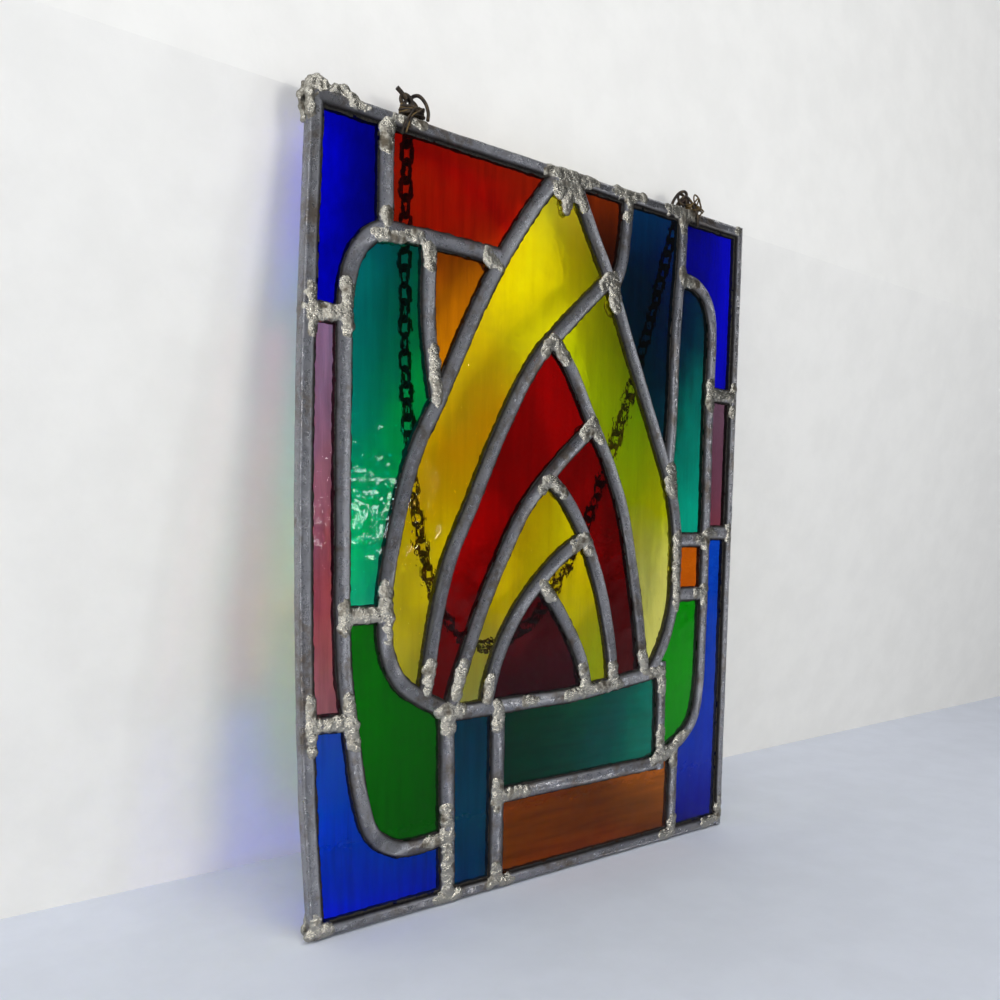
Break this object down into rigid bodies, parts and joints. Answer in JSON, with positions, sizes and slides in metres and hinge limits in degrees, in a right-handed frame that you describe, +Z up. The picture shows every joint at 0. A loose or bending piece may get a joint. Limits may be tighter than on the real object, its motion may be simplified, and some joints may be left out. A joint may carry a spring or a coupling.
{
  "type": "leaded stained glass window panel",
  "caption": "Upright rectangular leaded panel with a nested flame pattern in coloured glass, wire hangers on its top edge and a chain that hangs behind it.",
  "frame": {"origin": "midway between the middles of the two hanger eyes, on the line that the window hangs from, in the middle of the panel's thickness", "axes": "+Z up, from the panel's bottom edge to the hangers; +Y from the front face to the back, through the panel's thickness; +X to the right of someone who faces the front"},
  "size_m": [0.2355, 0.0395, 0.31],
  "materials": {
    "lead": "dull grey lead came, rounded and dented, with brighter solder at the joints",
    "glass_blue": "blue coloured antique glass, see-through, faintly streaked and wavy",
    "glass_mauve": "mauve coloured antique glass, see-through, faintly streaked and wavy",
    "glass_orange_red": "orange-red coloured antique glass, see-through, faintly streaked and wavy",
    "glass_orange": "orange coloured antique glass, see-through, faintly streaked and wavy",
    "glass_teal": "teal coloured antique glass, see-through, faintly streaked and wavy",
    "glass_green": "green coloured antique glass, see-through, faintly streaked and wavy",
    "glass_petrol": "petrol coloured antique glass, see-through, faintly streaked and wavy",
    "glass_brown": "brown coloured antique glass, see-through, faintly streaked and wavy",
    "glass_yellow": "yellow coloured antique glass, see-through, faintly streaked and wavy",
    "glass_red": "red coloured antique glass, see-through, faintly streaked and wavy",
    "glass_maroon": "maroon coloured antique glass, see-through, faintly streaked and wavy",
    "hanger_wire": "dark brown oxidised wire",
    "chain_iron": "brown-black iron chain"
  },
  "bodies": {
    "root": {"border_bottom": "lead", "border_right": "lead", "border_top": "lead", "border_left": "lead", "came_flame_left": "lead", "came_flame_right": "lead", "came_inner_left": "lead", "came_inner_right": "lead", "came_red_left": "lead", "came_red_right": "lead", "came_heart_left": "lead", "came_heart_right": "lead", "came_base": "lead", "came_left": "lead", "came_right": "lead", "came_upright_blue_left": "lead", "came_upright_orange": "lead", "came_upright_brown": "lead", "came_upright_teal_left": "lead", "came_upright_petrol_left": "lead", "came_upright_petrol_right": "lead", "came_upright_teal_end": "lead", "came_upright_brown_end": "lead", "came_bar_bottom": "lead", "came_bar_mauve_top": "lead", "came_bar_mauve_foot": "lead", "came_bar_green_left": "lead", "came_bar_purple_top": "lead", "came_bar_purple_foot": "lead", "came_bar_orange_top": "lead", "came_bar_orange_foot": "lead", "glass_blue_top_left": "glass_blue", "glass_mauve_left": "glass_mauve", "glass_blue_bottom_left": "glass_blue", "glass_orange_top": "glass_orange_red", "glass_teal_left": "glass_teal", "glass_orange_left": "glass_orange", "glass_green_left": "glass_green", "glass_petrol_bottom": "glass_petrol", "glass_teal_bottom": "glass_teal", "glass_brown_bottom": "glass_brown", "glass_yellow_flame": "glass_yellow", "glass_lime_flame": "glass_yellow", "glass_red_flame": "glass_red", "glass_red_inner": "glass_red", "glass_yellow_inner_left": "glass_yellow", "glass_yellow_inner_right": "glass_yellow", "glass_maroon_heart": "glass_maroon", "glass_brown_top": "glass_brown", "glass_petrol_right": "glass_petrol", "glass_teal_right": "glass_teal", "glass_blue_top_right": "glass_blue", "glass_purple_right": "glass_mauve", "glass_orange_right": "glass_orange", "glass_green_right": "glass_green", "glass_blue_bottom_right": "glass_blue", "hanger_left": "hanger_wire", "hanger_right": "hanger_wire", "chain": "chain_iron"}
  },
  "joints": []
}
